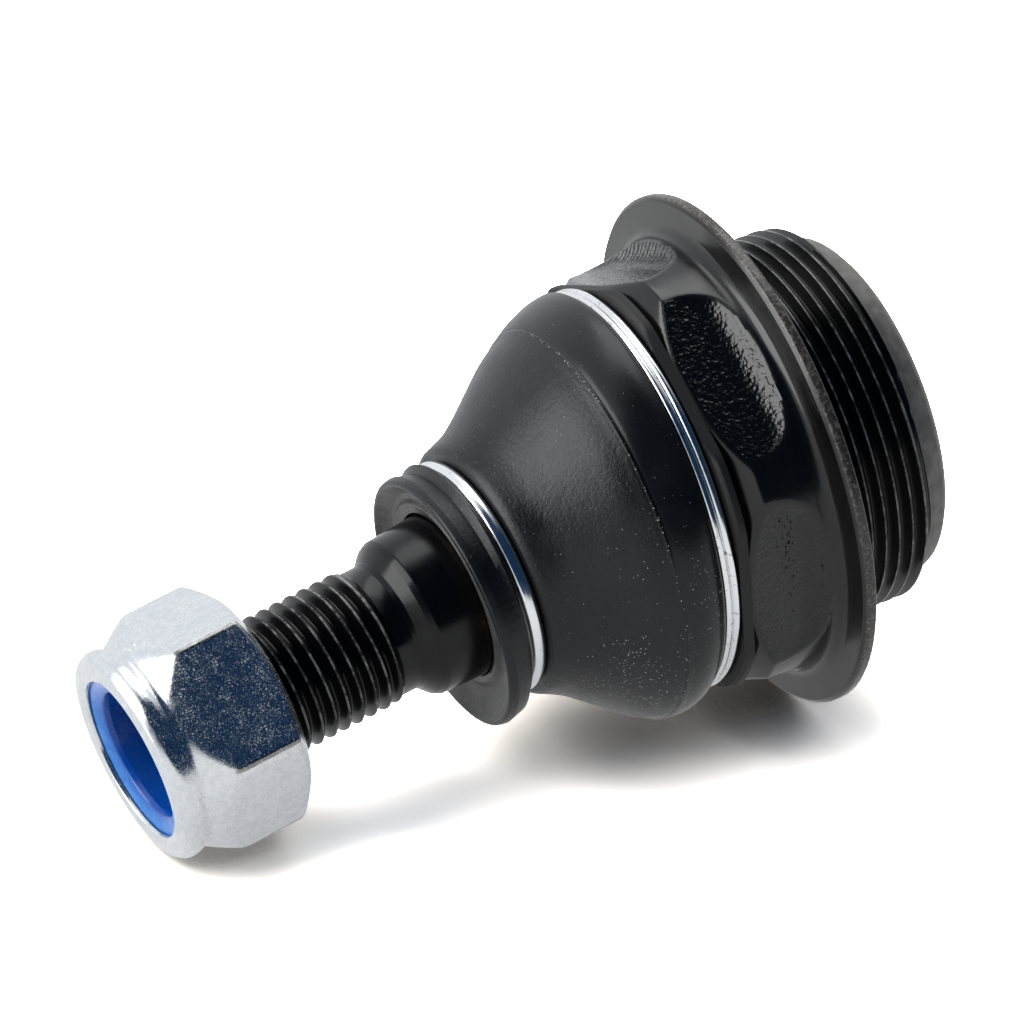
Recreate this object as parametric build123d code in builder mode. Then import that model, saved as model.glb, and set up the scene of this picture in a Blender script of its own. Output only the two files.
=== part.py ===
# Suspension ball joint, screw-in type, lying on its flange and its lock nut.
# Units are millimetres, +Z up.  Every piece is built around one of three axes
# that meet at (or near) the centre of the ball:
#   housing axis  - the forged body, the bearing, the cover and the large clip
#   stud axis     - the ball stud, the lock nut and its nylon ring
#   collar axis   - the boot's small end, squeezed a little off the stud axis
# A place along an axis is called t: 0 is the ball centre, negative is towards
# the nut and positive is towards the closed end.
import os
from math import cos, radians, sin

from build123d import *

os.makedirs("parts", exist_ok=True)

# ---------------------------------------------------------------- pose
BALL_X = 24.074           # ball centre in the row frame
BALL_Y = 0.0
BALL_Z = 25.921
HOUSING_RISE = 9.34      # degrees the housing axis climbs from the floor
STUD_RISE = 13.441       # the same for the stud
STUD_YAW = 4.163         # the stud's turn to the side
COLLAR_TILT = 4.1        # tilt of the boot's small end from the housing axis

# ---------------------------------------------------------------- ball stud
BALL_R = 12.5
NECK_R = 6.4             # thin enough for the ball to swing in its throat
NECK_FILLET = 0.7
COLLAR_R = 8.5           # plain journal the boot seals on
COLLAR_END = -29.6
TAPER_START = -36.1      # small end of the taper
TAPER_R = 8.15
TAPER_END_R = 8.45
RELIEF_R = 6.55          # thread relief
RELIEF_START = -40.4
RELIEF_END = -38.0
THREAD_R = 7.0           # M14 x 1.5
STUD_END = -61.0

# ---------------------------------------------------------------- housing
NOSE_R = 18.6            # the boot's large end sits here
NOSE_T = -12.6
RIM_R = 21.9             # turned front rim
RIM_T0 = -8.45
RIM_T1 = -7.35
HEX_CORNER_R = 22.6      # turned corners of the hexagon
HEX_AF = 41.0            # across flats
HEX_T0 = -7.2
FLAT_END = 0.3           # where each flat runs out
FLAT_HALF_W = 9.55
FLAT_CORNER_R = 4.2
FLAT_RUNOUT_R = 1.6
FLAT_PHASE = 39.1        # a flat's turn from straight up
FLANGE_R = 26.6
FLANGE_T0 = 1.6
FLANGE_T1 = 2.95
SEAT_R = 20.1            # inside the seat the face is cut back for the arm
UNDERCUT_R = 18.1
UNDERCUT_T1 = 4.6
HOUSING_THREAD_R = 19.5  # M39 x 1.5
HOUSING_THREAD_T1 = 13.5
END_R = 17.8             # plain end beyond the thread
END_T = 16.9
BORE_R = 15.7
PLATE_SEAT_R = 16.3
PLATE_T0 = 13.4
PLATE_T1 = 15.3
LIP_R = 14.6             # rolled lip over the cover plate
THROAT_R = 11.4          # holds the ball in

# ---------------------------------------------------------------- bearing
SHELL_R = 15.68
SHELL_GAP = 0.03
SLOT_W = 1.2
SLOTS = 6

# ---------------------------------------------------------------- boot
WALL = 1.7
WIRE_R = 0.43            # large clip: two turns side by side
WIRE_RING_R = 20.35
WIRE_T = (-9.86, -9.03)
BAND_R0 = 11.35          # small clip
BAND_R1 = 12.15
BAND_S0 = 1.05
BAND_S1 = 2.7

# ---------------------------------------------------------------- lock nut
NUT_AF = 22.0
NUT_CORNER_R = 12.7
NUT_BACK = -53.0
NUT_FRONT = -67.0
NUT_PHASE = 22.1         # a corner's turn from straight up
NYLON_R0 = 6.35

# ---------------------------------------------------------------- frames
BALL = Vector(BALL_X, BALL_Y, BALL_Z)
UP = Vector(0, 0, 1)


def heading(rise, yaw):
    return Vector(
        cos(radians(rise)) * cos(radians(yaw)),
        cos(radians(rise)) * sin(radians(yaw)),
        sin(radians(rise)),
    )


H_DIR = heading(HOUSING_RISE, 0.0)
S_DIR = heading(STUD_RISE, STUD_YAW)
# SIDE is square to the housing axis, in the plane the stud swings in
SIDE = (S_DIR - H_DIR * H_DIR.dot(S_DIR)).normalized()
TURN = H_DIR.cross(SIDE)


def tilted(angle):
    return H_DIR * cos(radians(angle)) + SIDE * sin(radians(angle))


C_DIR = tilted(COLLAR_TILT)
C_ORG = BALL + H_DIR * -29.5 + SIDE * -2.55


def radial_plane(origin, direction):
    """Sketch plane: x runs along the axis, y points as far up as it can."""
    radial = (UP - direction * UP.dot(direction)).normalized()
    return Plane(origin=origin, x_dir=direction, z_dir=direction.cross(radial))


H_PLANE = radial_plane(BALL, H_DIR)
S_PLANE = radial_plane(BALL, S_DIR)
C_PLANE = radial_plane(C_ORG, C_DIR)
H_AXIS = Axis(BALL, H_DIR)
S_AXIS = Axis(BALL, S_DIR)
C_AXIS = Axis(C_ORG, C_DIR)


def spoke(direction, angle):
    """Unit vector square to an axis, turned by angle degrees from straight up."""
    radial = (UP - direction * UP.dot(direction)).normalized()
    side = direction.cross(radial)
    return radial * cos(radians(angle)) + side * sin(radians(angle))


# ---------------------------------------------------------------- housing
with BuildPart() as housing:
    # turned blank: one profile holds the outside and the bearing bore
    with BuildSketch(H_PLANE):
        with BuildLine():
            Polyline(
                (NOSE_T, 14.9),
                (NOSE_T, NOSE_R - 0.7),
                (NOSE_T + 0.7, NOSE_R),
                (RIM_T0, NOSE_R),
                (RIM_T0, RIM_R - 0.4),
                (RIM_T0 + 0.35, RIM_R),
                (RIM_T1, RIM_R),
                (RIM_T1, RIM_R - 1.2),
                (HEX_T0, RIM_R - 1.2),
                (HEX_T0 + 1.9, HEX_CORNER_R),
                (0.35, HEX_CORNER_R),
            )
            RadiusArc((0.35, HEX_CORNER_R), (FLANGE_T0, HEX_CORNER_R + 1.25), -1.25)
            Polyline(
                (FLANGE_T0, HEX_CORNER_R + 1.25),
                (FLANGE_T0, FLANGE_R - 0.45),
                (FLANGE_T0 + 0.4, FLANGE_R),
                (FLANGE_T1 - 0.3, FLANGE_R),
                (FLANGE_T1, FLANGE_R - 0.3),
                (FLANGE_T1, SEAT_R),
                (FLANGE_T1 - 0.3, SEAT_R - 0.3),
                (FLANGE_T1 - 0.3, UNDERCUT_R),
                (UNDERCUT_T1 - 0.5, UNDERCUT_R),
                (UNDERCUT_T1 + 0.5, HOUSING_THREAD_R),
                (HOUSING_THREAD_T1 - 0.4, HOUSING_THREAD_R),
                (HOUSING_THREAD_T1 + 0.2, END_R + 0.6),
                (HOUSING_THREAD_T1 + 0.2, END_R),
                (END_T - 2.2, END_R),
            )
            RadiusArc((END_T - 2.2, END_R), (END_T, END_R - 2.2), 2.2)
            Polyline(
                (END_T, END_R - 2.2),
                (END_T, LIP_R),
                (PLATE_T1 + 0.02, LIP_R),
                (PLATE_T1 + 0.02, PLATE_SEAT_R),
                (PLATE_T0, PLATE_SEAT_R),
                (PLATE_T0, BORE_R),
                (-4.6, BORE_R),
                (-8.6, 12.0),
                (-8.9, THROAT_R),
                (-9.3, THROAT_R),
                (NOSE_T, 14.9),
            )
        make_face()
    revolve(axis=H_AXIS)
    # six forged flats: each pocket has rounded ends and a hollow run-out
    with BuildPart(mode=Mode.PRIVATE) as flat_tool:
        with BuildSketch(Plane.XY.offset(HEX_AF / 2)):
            with Locations((FLAT_END - 10, 0)):
                Rectangle(20, 2 * FLAT_HALF_W)
        extrude(amount=6)
        fillet(flat_tool.edges().filter_by(Axis.Z).group_by(Axis.X)[-1], FLAT_CORNER_R)
        fillet(flat_tool.faces().sort_by(Axis.Z)[0].edges().filter_by(lambda e: e.center().X > HEX_T0 + 1), FLAT_RUNOUT_R)
    with BuildPart(mode=Mode.PRIVATE) as flat_trim:
        with Locations((HEX_T0 + 10, 0, HEX_AF / 2 + 5)):
            Box(20, 30, 14)
    pocket = flat_tool.part & flat_trim.part
    for k in range(6):
        place = Plane(origin=BALL, x_dir=H_DIR, z_dir=spoke(H_DIR, FLAT_PHASE + 60 * k))
        add(place.location * pocket, mode=Mode.SUBTRACT)
housing.part.label = "housing"
export_step(housing.part, "parts/housing.step")

# ---------------------------------------------------------------- bearing shell
SPHERE_R = BALL_R + SHELL_GAP
SHELL_T0 = -6.2           # front edge on the ball, clear of the swung neck
SHELL_T1 = 10.6
with BuildPart() as bearing_shell:
    with BuildSketch(H_PLANE):
        with BuildLine():
            front_r = (SPHERE_R**2 - SHELL_T0**2) ** 0.5
            rear_r = (SPHERE_R**2 - SHELL_T1**2) ** 0.5
            Polyline(
                (SHELL_T1, rear_r),
                (13.36, rear_r),
                (13.36, SHELL_R - 1.0),
                (12.36, SHELL_R),
                (-4.56, SHELL_R),
                (-8.45, 12.05),
                (-8.45, 11.6),
                (SHELL_T0, front_r),
            )
            ThreePointArc((SHELL_T0, front_r), (0, SPHERE_R), (SHELL_T1, rear_r))
        make_face()
    revolve(axis=H_AXIS)
    # slots let the shell open as the ball snaps in from the rear
    for k in range(SLOTS):
        across = spoke(H_DIR, 360 / SLOTS * k + 90)
        with BuildSketch(Plane(origin=BALL, x_dir=H_DIR, z_dir=across)):
            with Locations((8.6, 14.2)):
                Rectangle(12.0, 6.4)
        extrude(amount=SLOT_W / 2, both=True, mode=Mode.SUBTRACT)
bearing_shell.part.label = "bearing_shell"
export_step(bearing_shell.part, "parts/bearing_shell.step")

# ---------------------------------------------------------------- cover plate
with BuildPart() as cover_plate:
    with BuildSketch(H_PLANE):
        with BuildLine():
            Polyline(
                (PLATE_T0 + 0.02, 0),
                (PLATE_T0 + 0.02, PLATE_SEAT_R - 0.05),
                (PLATE_T1, PLATE_SEAT_R - 0.05),
                (PLATE_T1, 11.0),
                (PLATE_T1 + 0.8, 9.6),
                (PLATE_T1 + 0.8, 5.0),
                (PLATE_T1 + 0.3, 4.2),
                (PLATE_T1 + 0.3, 0),
                (PLATE_T0 + 0.02, 0),
            )
        make_face()
    revolve(axis=H_AXIS)
cover_plate.part.label = "cover_plate"
export_step(cover_plate.part, "parts/cover_plate.step")

# ---------------------------------------------------------------- ball stud
with BuildPart() as ball_stud:
    neck_top = NECK_R + NECK_FILLET
    neck_t = -((BALL_R**2 - neck_top**2) ** 0.5)
    with BuildSketch(S_PLANE):
        with BuildLine():
            Polyline(
                (STUD_END, 0),
                (STUD_END, THREAD_R - 1.3),
                (STUD_END + 1.3, THREAD_R),
                (RELIEF_START - 0.3, THREAD_R),
                (RELIEF_START + 0.3, RELIEF_R),
                (RELIEF_END, RELIEF_R),
                (RELIEF_END + 0.5, RELIEF_R + 0.35),
                (TAPER_START - 0.6, TAPER_R - 0.28),
                (TAPER_START, TAPER_R),
                (COLLAR_END - 0.6, TAPER_END_R),
                (COLLAR_END, COLLAR_R),
                (-25.2, COLLAR_R),
                (-22.6, NECK_R + 0.3),
                (-14.0, NECK_R),
                (neck_t - 0.8, NECK_R),
                (neck_t, neck_top),
            )
            ThreePointArc((neck_t, neck_top), (0, BALL_R), (11.4, (BALL_R**2 - 11.4**2) ** 0.5))
            Polyline(
                (11.4, (BALL_R**2 - 11.4**2) ** 0.5),
                (11.4, 1.6),
                (10.0, 0),
                (STUD_END, 0),
            )
        make_face()
    revolve(axis=S_AXIS)
ball_stud.part.label = "ball_stud"
export_step(ball_stud.part, "parts/ball_stud.step")

# ---------------------------------------------------------------- dust boot
# circles of the bell: place along the housing axis, offset, tilt, radius
BELL = [
    (-10.60, 0.00, 0.0, 20.95),
    (-11.60, -0.40, 0.4, 21.15),
    (-12.80, -0.85, 0.8, 21.12),
    (-14.10, -1.25, 1.2, 20.85),
    (-15.40, -1.62, 1.4, 20.30),
    (-17.40, -1.85, 1.8, 19.15),
    (-19.10, -2.02, 2.2, 17.85),
    (-20.80, -2.16, 2.7, 16.45),
    (-22.40, -2.26, 3.1, 15.20),
    (-24.10, -2.33, 3.6, 14.05),
]
SMALL_S = 3.05
SMALL_R = 13.0


def bell_planes():
    for t, offset, tilt, radius in BELL:
        yield Plane(
            origin=BALL + H_DIR * t + SIDE * offset, x_dir=TURN, z_dir=tilted(tilt)
        ), radius
    yield Plane(origin=C_ORG + C_DIR * SMALL_S, x_dir=TURN, z_dir=C_DIR), SMALL_R


with BuildPart() as dust_boot:
    for plane, radius in bell_planes():
        with BuildSketch(plane):
            Circle(radius)
    loft()
    # large end, with the groove for the two-turn clip
    with BuildSketch(H_PLANE):
        with BuildLine():
            Polyline(
                (-10.60, 0),
                (-10.60, 20.95),
                (-10.36, 20.75),
                (-10.36, 19.88),
                (-8.52, 19.88),
                (-8.52, 0),
                (-10.60, 0),
            )
        make_face()
    revolve(axis=H_AXIS)
    # small end: groove for the clip, thick lip with a hollow face
    with BuildSketch(C_PLANE):
        with BuildLine():
            Polyline(
                (SMALL_S, 0),
                (SMALL_S, SMALL_R),
                (BAND_S1 + 0.04, 12.55),
                (BAND_S1 + 0.04, BAND_R0 - 0.04),
                (BAND_S0 - 0.04, BAND_R0 - 0.04),
                (BAND_S0 - 0.04, 12.1),
                (0.6, 12.55),
                (-1.05, 13.15),
                (-1.75, 12.95),
                (-2.10, 12.4),
                (-2.05, 11.9),
                (-1.1, 11.3),
                (-0.9, 10.5),
                (-2.15, 9.75),
                (-2.25, 9.35),
                (-1.6, 9.0),
                (-1.6, 0),
                (SMALL_S, 0),
            )
        make_face()
    revolve(axis=C_AXIS)
    # hollow inside
    with BuildPart(mode=Mode.PRIVATE) as hollow:
        for plane, radius in bell_planes():
            with BuildSketch(plane):
                Circle(radius - WALL)
        loft()
        with BuildSketch(H_PLANE):
            with BuildLine():
                Polyline((-10.62, 0), (-10.62, 18.65), (-8.0, 18.65), (-8.0, 0), (-10.62, 0))
            make_face()
        revolve(axis=H_AXIS)
    add(hollow.part, mode=Mode.SUBTRACT)
    # seal bore around the stud
    with BuildSketch(S_PLANE):
        with BuildLine():
            Polyline(
                (-34.0, 0),
                (-34.0, COLLAR_R + 0.6),
                (-31.4, COLLAR_R + 0.5),
                (-30.6, COLLAR_R + 0.03),
                (-29.0, COLLAR_R + 0.03),
                (-28.4, COLLAR_R + 0.5),
                (-24.0, COLLAR_R + 0.5),
                (-24.0, 0),
                (-34.0, 0),
            )
        make_face()
    revolve(axis=S_AXIS, mode=Mode.SUBTRACT)
dust_boot.part.label = "dust_boot"
export_step(dust_boot.part, "parts/dust_boot.step")

# ---------------------------------------------------------------- boot clips
with BuildPart() as boot_clip_large:
    with BuildSketch(H_PLANE):
        with Locations(*[(t, WIRE_RING_R) for t in WIRE_T]):
            Circle(WIRE_R)
    revolve(axis=H_AXIS)
boot_clip_large.part.label = "boot_clip_large"
export_step(boot_clip_large.part, "parts/boot_clip_large.step")

with BuildPart() as boot_clip_small:
    with BuildSketch(C_PLANE) as band:
        with Locations(((BAND_S0 + BAND_S1) / 2, (BAND_R0 + BAND_R1) / 2)):
            Rectangle(BAND_S1 - BAND_S0, BAND_R1 - BAND_R0)
        fillet(band.vertices(), 0.3)
    revolve(axis=C_AXIS)
boot_clip_small.part.label = "boot_clip_small"
export_step(boot_clip_small.part, "parts/boot_clip_small.step")

# ---------------------------------------------------------------- lock nut
with BuildPart() as lock_nut:
    nut_end = Plane(
        origin=BALL + S_DIR * -63.3, x_dir=spoke(S_DIR, NUT_PHASE), z_dir=S_DIR
    )
    with BuildSketch(nut_end):
        RegularPolygon(radius=NUT_AF / 2, side_count=6, major_radius=False)
    extrude(amount=NUT_BACK + 63.3)
    # chamfer cones at both ends of the hexagon
    with BuildSketch(S_PLANE):
        with BuildLine():
            Polyline(
                (-63.3, 0),
                (-63.3, 11.1),
                (-60.3, NUT_CORNER_R),
                (-54.3, NUT_CORNER_R),
                (NUT_BACK, 10.4),
                (NUT_BACK, 0),
                (-63.3, 0),
            )
        make_face()
    revolve(axis=S_AXIS, mode=Mode.INTERSECT)
    # collar that is rolled over the nylon ring
    with BuildSketch(S_PLANE):
        with BuildLine():
            Polyline(
                (-63.2, 0),
                (-63.2, 11.0),
                (-63.7, 10.4),
                (-64.2, 10.3),
                (-64.7, 10.72),
            )
            ThreePointArc((-64.7, 10.72), (-66.2, 10.77), (NUT_FRONT, 9.85))
            Polyline((NUT_FRONT, 9.85), (-66.75, 8.15), (-66.45, 8.0), (-66.45, 0), (-63.2, 0))
        make_face()
    revolve(axis=S_AXIS)
    # thread bore and the seat of the nylon ring
    with BuildSketch(S_PLANE):
        with BuildLine():
            Polyline(
                (-70.0, 0),
                (-70.0, 8.0),
                (-66.4, 8.0),
                (-66.4, 8.72),
                (-62.8, 8.72),
                (-62.8, THREAD_R + 0.02),
                (-53.6, THREAD_R + 0.02),
                (-52.9, THREAD_R + 0.72),
                (-52.9, 0),
                (-70.0, 0),
            )
        make_face()
    revolve(axis=S_AXIS, mode=Mode.SUBTRACT)
lock_nut.part.label = "lock_nut"
export_step(lock_nut.part, "parts/lock_nut.step")

with BuildPart() as nylon_insert:
    with BuildSketch(S_PLANE):
        with BuildLine():
            Polyline(
                (-66.38, 7.9),
                (-66.38, 8.7),
                (-62.82, 8.7),
                (-62.82, NYLON_R0),
                (-65.5, NYLON_R0),
                (-66.38, 7.9),
            )
        make_face()
    revolve(axis=S_AXIS)
nylon_insert.part.label = "nylon_insert"
export_step(nylon_insert.part, "parts/nylon_insert.step")
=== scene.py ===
# %% [markdown]
# # A screw-in suspension ball joint
# The joint lies on a white table: a black hexagon housing with an outside
# thread, a ball stud that leans out of it, a rubber dust boot held by two
# clips, and a zinc-plated lock nut with a blue nylon ring. The CAD model gives
# the frame: where each axis lies and which body each piece moves with. This
# script makes the pieces that are seen and gives every surface its finish.

# %% Load the frame
from math import atan2, cos, degrees, hypot, pi, radians, sin, sqrt, tan

import bpy
import numpy as np
from mathutils import Matrix, Vector


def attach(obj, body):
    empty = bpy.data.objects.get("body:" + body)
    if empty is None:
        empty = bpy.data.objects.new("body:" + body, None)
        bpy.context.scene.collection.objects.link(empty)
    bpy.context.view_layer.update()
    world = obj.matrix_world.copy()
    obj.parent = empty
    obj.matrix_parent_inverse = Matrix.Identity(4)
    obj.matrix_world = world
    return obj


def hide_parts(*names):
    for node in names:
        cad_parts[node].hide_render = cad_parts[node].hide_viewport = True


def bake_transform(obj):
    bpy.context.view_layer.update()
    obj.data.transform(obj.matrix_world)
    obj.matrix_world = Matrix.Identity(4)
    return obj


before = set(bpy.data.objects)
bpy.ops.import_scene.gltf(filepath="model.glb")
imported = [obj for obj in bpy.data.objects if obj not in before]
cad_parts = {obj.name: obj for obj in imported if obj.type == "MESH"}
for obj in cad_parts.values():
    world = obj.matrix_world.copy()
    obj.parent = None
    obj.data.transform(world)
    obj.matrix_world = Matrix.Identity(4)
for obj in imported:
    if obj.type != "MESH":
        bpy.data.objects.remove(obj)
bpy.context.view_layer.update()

# %% [markdown]
# ## Three axes
# The joint is built on three axes, as the real one is: the housing's, the
# stud's, and that of the boot's small end, which the rubber holds a little
# askew. Each is written as a local frame whose Z runs along the axis towards
# the closed end and whose X points up. Pieces are modelled in that frame in
# millimetres and laid in place at the end, which is far easier than modelling
# on a slant.

# %% The axes of the joint
MM = 0.001
BALL = Vector((24.074, 0.0, 25.921)) * MM
HOUSING_RISE, STUD_RISE, STUD_YAW = 9.34, 13.441, 4.163  # degrees
COLLAR_TILT = 4.1  # degrees that the boot's small end leans
COLLAR_BACK, COLLAR_SAG = -29.5, -2.55  # and where it sits
PITCH = 1.5  # of all three threads


def heading(rise, yaw):
    """Unit vector that climbs by rise and turns by yaw, in degrees."""
    a, b = radians(rise), radians(yaw)
    return Vector((cos(a) * cos(b), cos(a) * sin(b), sin(a)))


def axis_frame(origin, direction):
    """Matrix of a frame at origin: Z along direction, X as far up as it can."""
    up = Vector((0, 0, 1))
    radial = (up - direction * up.dot(direction)).normalized()
    turn = Matrix((radial, direction.cross(radial), direction)).transposed()
    return Matrix.Translation(origin) @ turn.to_4x4()


HOUSING_DIR = heading(HOUSING_RISE, 0.0)
STUD_DIR = heading(STUD_RISE, STUD_YAW)
LEAN = (STUD_DIR - HOUSING_DIR * HOUSING_DIR.dot(STUD_DIR)).normalized()


def leaning(angle):
    """The housing's direction leaned towards the stud's by angle degrees."""
    return HOUSING_DIR * cos(radians(angle)) + LEAN * sin(radians(angle))


COLLAR_DIR = leaning(COLLAR_TILT)
COLLAR_POINT = BALL + (HOUSING_DIR * COLLAR_BACK + LEAN * COLLAR_SAG) * MM
HOUSING_FRAME = axis_frame(BALL, HOUSING_DIR)
STUD_FRAME = axis_frame(BALL, STUD_DIR)
COLLAR_FRAME = axis_frame(COLLAR_POINT, COLLAR_DIR)
print("stud leans", round(degrees(HOUSING_DIR.angle(STUD_DIR)), 2), "degrees")

# %% [markdown]
# ## Helpers for turned work
# Nearly every piece of the joint was turned on a lathe. In Blender that is one
# ring of edges drawn out from station to station: extrude, move, resize. The
# corners of a profile are rounded first, because a real edge is never sharp
# and its small radius is what catches the light.

# %% Profiles with rounded corners
def rounded(corners, parts=4):
    """Points (t, radius) of a profile whose corners (t, radius, fillet) are
    rounded with an arc of the given fillet."""
    points = []
    last = len(corners) - 1
    for i, corner in enumerate(corners):
        t, r = corner[0], corner[1]
        fillet = corner[2] if len(corner) > 2 else 0.0
        if fillet <= 0 or i in (0, last):
            points.append((t, r))
            continue
        here = Vector((t, r))
        back = Vector(corners[i - 1][:2]) - here
        ahead = Vector(corners[i + 1][:2]) - here
        reach_b, reach_a = back.length, ahead.length
        back.normalize()
        ahead.normalize()
        half = back.angle(ahead) / 2
        cut = min(fillet / tan(half), reach_b * 0.48, reach_a * 0.48)
        size = cut * tan(half)
        middle = here + (back + ahead).normalized() * (size / sin(half))
        first, final = here + back * cut - middle, here + ahead * cut - middle
        sweep = first.angle_signed(final)
        for k in range(parts + 1):
            a = -sweep * k / parts
            spoke = Vector((first.x * cos(a) - first.y * sin(a),
                            first.x * sin(a) + first.y * cos(a)))
            points.append(tuple(middle + spoke))
    return points


def filled_in(points, step, start=-1e9, end=1e9):
    """The same profile with more points, at most step apart, between start
    and end."""
    dense = [points[0]]
    for (t0, r0), (t1, r1) in zip(points, points[1:]):
        inside = start <= min(t0, t1) and max(t0, t1) <= end
        n = max(1, int(hypot(t1 - t0, r1 - r0) / step + 0.5)) if inside else 1
        for k in range(1, n + 1):
            dense.append((t0 + (t1 - t0) * k / n, r0 + (r1 - r0) * k / n))
    return dense


# %% Turning a ring into a piece
def deselect_all():
    if bpy.context.object and bpy.context.object.mode != "OBJECT":
        bpy.ops.object.mode_set(mode="OBJECT")
    bpy.ops.object.select_all(action="DESELECT")


def edit(piece):
    """Edit mode on this piece alone, with nothing selected."""
    deselect_all()
    bpy.context.view_layer.objects.active = piece
    piece.select_set(True)
    bpy.ops.object.mode_set(mode="EDIT")
    bpy.ops.mesh.select_all(action="DESELECT")


def turned(name, stations, steps):
    """One ring of edges drawn out along Z through the stations (t, radius)."""
    deselect_all()
    t, r = stations[0]
    bpy.ops.mesh.primitive_circle_add(
        vertices=steps, radius=r * MM, fill_type="NOTHING", location=(0, 0, 0))
    piece = bpy.context.object
    piece.name = name
    bpy.ops.object.mode_set(mode="EDIT")
    bpy.ops.mesh.select_all(action="SELECT")
    bpy.ops.transform.translate(value=(0, 0, t * MM))
    for (t0, r0), (t1, r1) in zip(stations, stations[1:]):
        bpy.ops.mesh.extrude_edges_move(
            TRANSFORM_OT_translate={"value": (0, 0, (t1 - t0) * MM)})
        k = r1 / r0
        bpy.ops.transform.resize(value=(k, k, 1), center_override=(0, 0, t1 * MM))
    bpy.ops.object.mode_set(mode="OBJECT")
    return piece


def merge_and_face_out(piece, distance=2e-6, flip=True):
    """Close seams and poles, then make every face point outwards."""
    edit(piece)
    bpy.ops.mesh.select_all(action="SELECT")
    bpy.ops.mesh.remove_doubles(threshold=distance)
    bpy.ops.mesh.dissolve_degenerate(threshold=1e-7)
    bpy.ops.mesh.select_all(action="SELECT")
    if flip:
        bpy.ops.mesh.normals_make_consistent(inside=False)
    bpy.ops.object.mode_set(mode="OBJECT")


def joined(name, *parts):
    """Several meshes made one."""
    deselect_all()
    for part in parts:
        part.select_set(True)
    bpy.context.view_layer.objects.active = parts[0]
    bpy.ops.object.join()
    piece = bpy.context.object
    piece.name = name
    return piece


def coordinates(piece):
    """The vertices as an array, in millimetres."""
    data = np.empty(len(piece.data.vertices) * 3)
    piece.data.vertices.foreach_get("co", data)
    return data.reshape(-1, 3) / MM


def set_coordinates(piece, points):
    piece.data.vertices.foreach_set("co", (points * MM).ravel())
    piece.data.update()


def mark(piece, name, values):
    """Store one number per vertex for a material to read."""
    layer = piece.data.attributes.new(name, "FLOAT", "POINT")
    layer.data.foreach_set("value", np.asarray(values, dtype=np.float32))


def lay(piece, place, angle=35):
    """Lay the piece in its place and smooth it up to angle degrees."""
    deselect_all()
    piece.matrix_world = place
    piece.select_set(True)
    bpy.context.view_layer.objects.active = piece
    bpy.ops.object.transform_apply(location=True, rotation=True, scale=True)
    bpy.ops.object.shade_smooth_by_angle(angle=radians(angle))
    piece.select_set(False)
    print(piece.name, len(piece.data.polygons), "faces")
    return piece


# %% [markdown]
# ## Screw threads
# A thread is one groove that climbs by the pitch on every turn. The profile
# of a few pitches is drawn as a line and the Screw modifier winds it once
# round the axis, climbing one pitch, so that its end meets its own beginning
# one groove further on. The ends are then turned down as on a lathe: nothing
# stands outside the blank, and the groove runs out before a shoulder.

# %% A helical thread between two places on an axis
THREAD_DEPTH = 0.9
CREST_FLAT, ROOT_ROUNDING = 0.22, 0.08
GROOVE_PHASES = (-0.5, -0.38, -0.3, -0.2, -0.08, -0.04,
                 0.04, 0.08, 0.2, 0.3, 0.38)


def thread_form(phase):
    """Depth of the groove at a phase from 0 to 1, a crest being at 0. The
    flanks stand 60 degrees apart and the root is rounded."""
    x = np.abs((phase + 0.5) % 1.0 - 0.5) * PITCH
    flank = np.clip((x - CREST_FLAT / 2) * sqrt(3), 0, None)
    lower = np.minimum(flank, THREAD_DEPTH)
    near = np.clip((THREAD_DEPTH - np.abs(flank - THREAD_DEPTH)) / THREAD_DEPTH, 0, 1)
    return lower - THREAD_DEPTH * ROOT_ROUNDING * near ** 6


def threaded(name, start, end, crest, fade, steps, shift, blank=None):
    """A thread surface from start to end. fade(t) is 1 where the groove has
    its full depth and 0 where it has run out, and blank(t) is the radius of
    the blank that it was cut into. A nut's thread is the same surface."""
    deselect_all()
    bpy.ops.mesh.primitive_plane_add(size=MM, location=(0, 0, 0))
    piece = bpy.context.object
    piece.name = name
    bpy.ops.object.mode_set(mode="EDIT")
    bpy.ops.mesh.select_all(action="SELECT")
    bpy.ops.mesh.merge(type="CENTER")
    turns = int((end - start) / PITCH) + 3
    places = [start - PITCH + (k + 0.5 + p) * PITCH + shift % PITCH - PITCH
              for k in range(turns + 1) for p in GROOVE_PHASES]
    bpy.ops.transform.translate(value=(crest * MM, 0, places[0] * MM))
    for t0, t1 in zip(places, places[1:]):
        bpy.ops.mesh.extrude_vertices_move(
            TRANSFORM_OT_translate={"value": (0, 0, (t1 - t0) * MM)})
    bpy.ops.object.mode_set(mode="OBJECT")
    screw = piece.modifiers.new("helix", "SCREW")
    screw.axis = "Z"
    screw.angle = 2 * pi
    screw.screw_offset = PITCH * MM
    screw.steps = screw.render_steps = steps
    screw.iterations = 1
    screw.use_merge_vertices = False
    bpy.ops.object.modifier_apply(modifier="helix")
    p = coordinates(piece)
    angle = np.arctan2(p[:, 1], p[:, 0]) % (2 * pi)
    t = np.clip(p[:, 2], start, end)
    phase = (t - shift) / PITCH - angle / (2 * pi)
    r = crest - thread_form(phase) * np.array([fade(v) for v in t])
    if blank:
        r = np.minimum(r, [blank(v) for v in t])
    set_coordinates(piece, np.stack([r * np.cos(angle), r * np.sin(angle), t], 1))
    merge_and_face_out(piece, distance=1.5e-5, flip=False)
    return piece


def slope(*points):
    """A function that runs straight from point to point (t, value)."""
    ts, vs = zip(*points)
    return lambda t: float(np.interp(t, ts, vs))


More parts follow.
